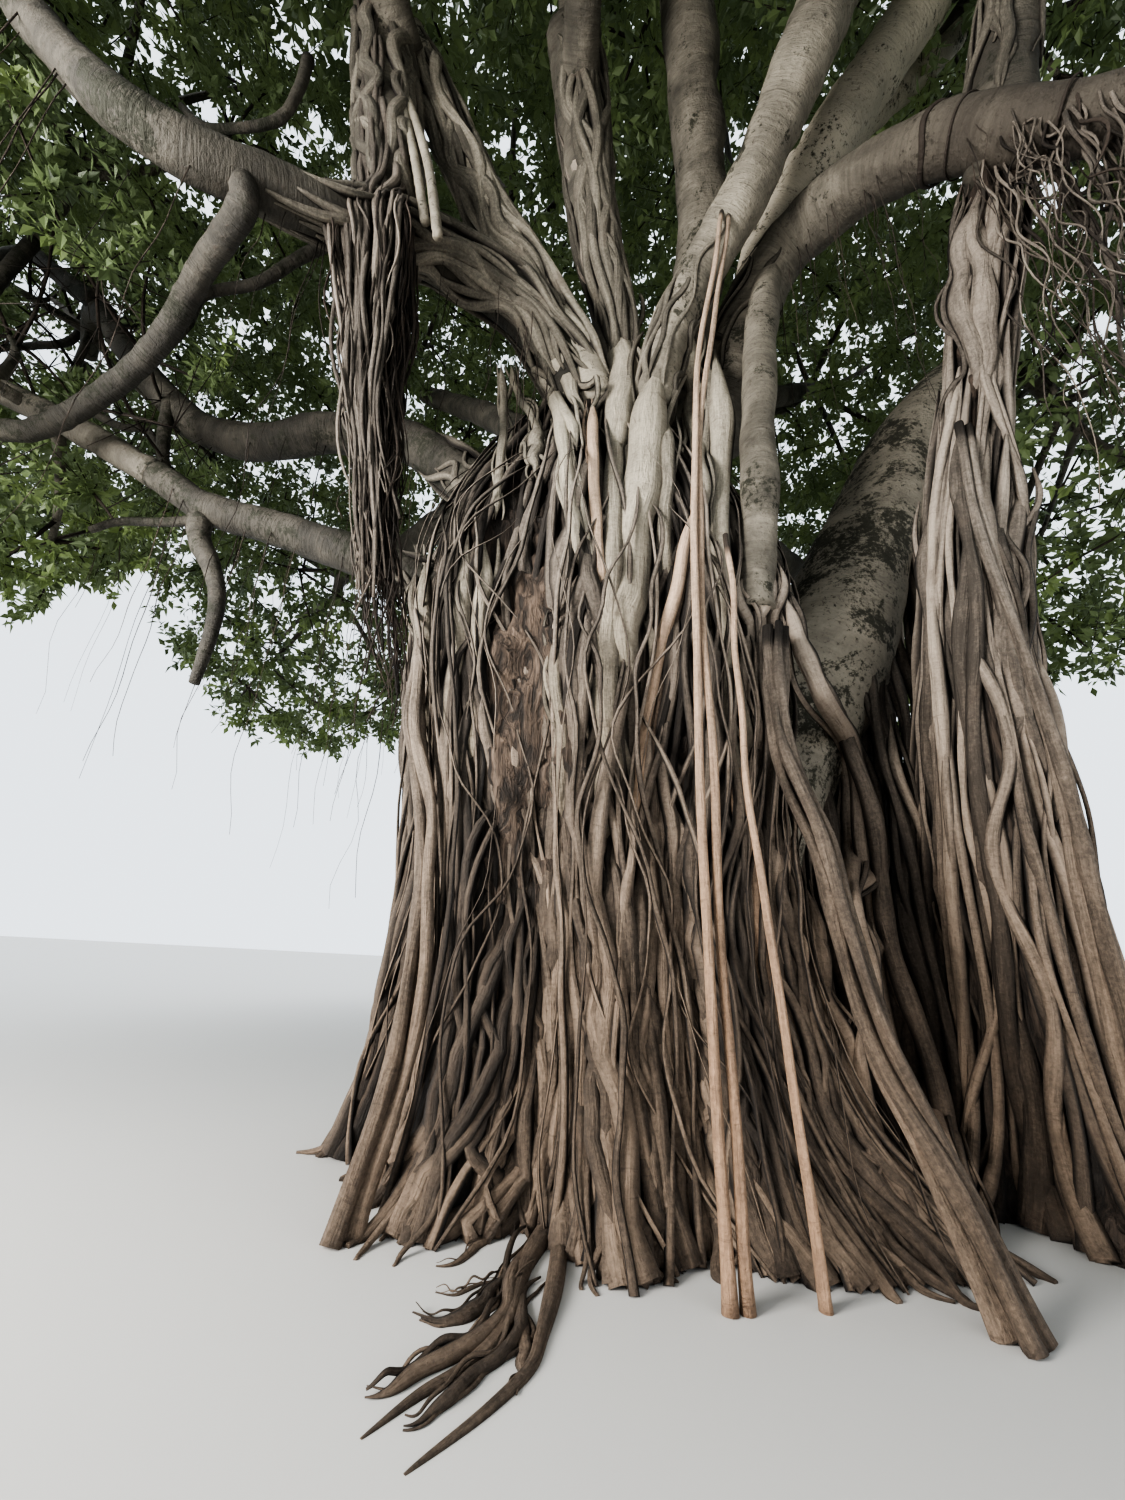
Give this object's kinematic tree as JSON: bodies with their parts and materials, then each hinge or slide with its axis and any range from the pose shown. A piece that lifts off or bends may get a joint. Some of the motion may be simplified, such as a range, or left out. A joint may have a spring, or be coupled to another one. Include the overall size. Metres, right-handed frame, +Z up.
{
  "type": "banyan tree",
  "caption": "Banyan tree with a broad trunk of fused aerial roots, a second column of roots, spreading boughs, hanging roots and a wide domed crown.",
  "frame": {"origin": "the middle of the flat cut under the trunk, at ground level", "axes": "+Z up, +X to the tree's right seen from its front, -Y its front"},
  "size_m": [25.0861, 25.6651, 19.6547],
  "materials": {
    "bark_grey": "grey-brown bark of fused roots, matte, with dark hollows",
    "bark_pale": "pale grey smooth bark with ring wrinkles and moss",
    "root_tan": "young prop root bark, tan, matte",
    "root_brown": "dark brown hanging roots, matte",
    "foliage": "dark green small leaves, half gloss"
  },
  "bodies": {
    "root": {"bough_back": "bark_pale", "bough_back_left": "bark_pale", "bough_back_right": "bark_pale", "bough_centre_smooth": "bark_pale", "bough_centre_wrapped": "bark_pale", "bough_front": "bark_pale", "bough_front_left": "bark_pale", "bough_inner_back": "bark_pale", "bough_inner_left": "bark_pale", "bough_inner_right": "bark_pale", "bough_left_column": "bark_pale", "bough_left_fork": "bark_pale", "bough_left_high": "bark_pale", "bough_left_low": "bark_pale", "bough_left_mid": "bark_pale", "bough_left_upper": "bark_pale", "bough_right_back": "bark_pale", "bough_right_fork": "bark_pale", "bough_right_low": "bark_pale", "bough_right_up": "bark_pale", "bough_right_wrapped": "bark_pale", "bough_right_y": "bark_pale", "bough_top_left": "bark_pale", "bough_top_right": "bark_pale", "foliage_back": "foliage", "foliage_back_left": "foliage", "foliage_back_right": "foliage", "foliage_front": "foliage", "foliage_front_left": "foliage", "foliage_front_right": "foliage", "foliage_inner_back": "foliage", "foliage_inner_left": "foliage", "foliage_inner_right": "foliage", "foliage_left_fork": "foliage", "foliage_left_high": "foliage", "foliage_left_low": "foliage", "foliage_left_mid": "foliage", "foliage_mid_front": "foliage", "foliage_mid_left": "foliage", "foliage_mid_right": "foliage", "foliage_right_back": "foliage", "foliage_right_low": "foliage", "foliage_top_front": "foliage", "foliage_top_left": "foliage", "foliage_top_right": "foliage", "foliage_upper_right": "foliage", "ground_root_long": "root_brown", "ground_root_short": "root_brown", "prop_root_back": "bark_grey", "prop_root_front": "root_tan", "prop_root_left": "bark_grey", "prop_root_outer": "root_tan", "prop_root_pair": "root_tan", "prop_root_right": "bark_grey", "root_column_right": "bark_grey", "root_curtain": "root_brown", "stem_right": "bark_pale", "trunk": "bark_grey"}
  },
  "joints": []
}
